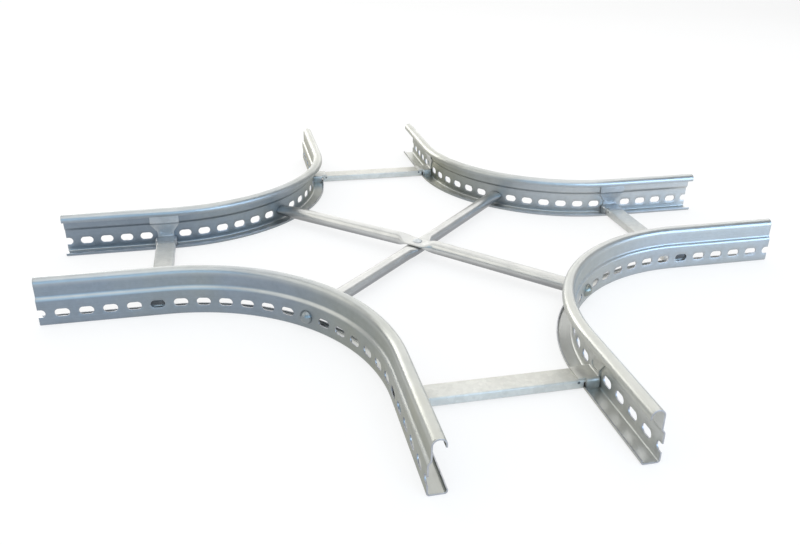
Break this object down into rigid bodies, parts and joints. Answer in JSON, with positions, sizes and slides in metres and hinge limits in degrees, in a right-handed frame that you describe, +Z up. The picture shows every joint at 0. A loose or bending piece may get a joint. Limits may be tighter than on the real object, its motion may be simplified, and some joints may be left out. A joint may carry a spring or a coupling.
{
  "type": "cable tray cross",
  "caption": "Ladder-type cable tray cross of zinc-coated sheet steel: bent slotted side rails with a rolled top bead, flat rungs across each arm and crossed brace tubes.",
  "frame": {"origin": "middle of the cross, on the underside of the bottom flanges", "axes": "+Z up, +X to the right arm and +Y to the back arm; the front arm lies along -Y"},
  "size_m": [0.8928, 0.8928, 0.055],
  "materials": {
    "rail_sheet": "satin zinc-coated steel sheet",
    "rung_sheet": "satin zinc-coated steel sheet",
    "bracket_sheet": "satin zinc-coated steel sheet, pressed",
    "tube_steel": "satin zinc-coated steel tube",
    "fastener_zinc": "bright zinc-plated steel"
  },
  "bodies": {
    "root": {"rail_back_right": "rail_sheet", "rail_back_left": "rail_sheet", "rail_front_left": "rail_sheet", "rail_front_right": "rail_sheet", "rung_right": "rung_sheet", "rung_back": "rung_sheet", "rung_left": "rung_sheet", "rung_front": "rung_sheet", "bracket_right_back": "bracket_sheet", "bracket_right_front": "bracket_sheet", "bracket_back_left": "bracket_sheet", "bracket_back_right": "bracket_sheet", "bracket_left_front": "bracket_sheet", "bracket_left_back": "bracket_sheet", "bracket_front_right": "bracket_sheet", "bracket_front_left": "bracket_sheet", "tube_lower": "tube_steel", "tube_upper": "tube_steel", "tube_bolt_back_right": "fastener_zinc", "tube_bolt_back_left": "fastener_zinc", "tube_bolt_front_left": "fastener_zinc", "tube_bolt_front_right": "fastener_zinc", "centre_rivet": "fastener_zinc"}
  },
  "joints": []
}
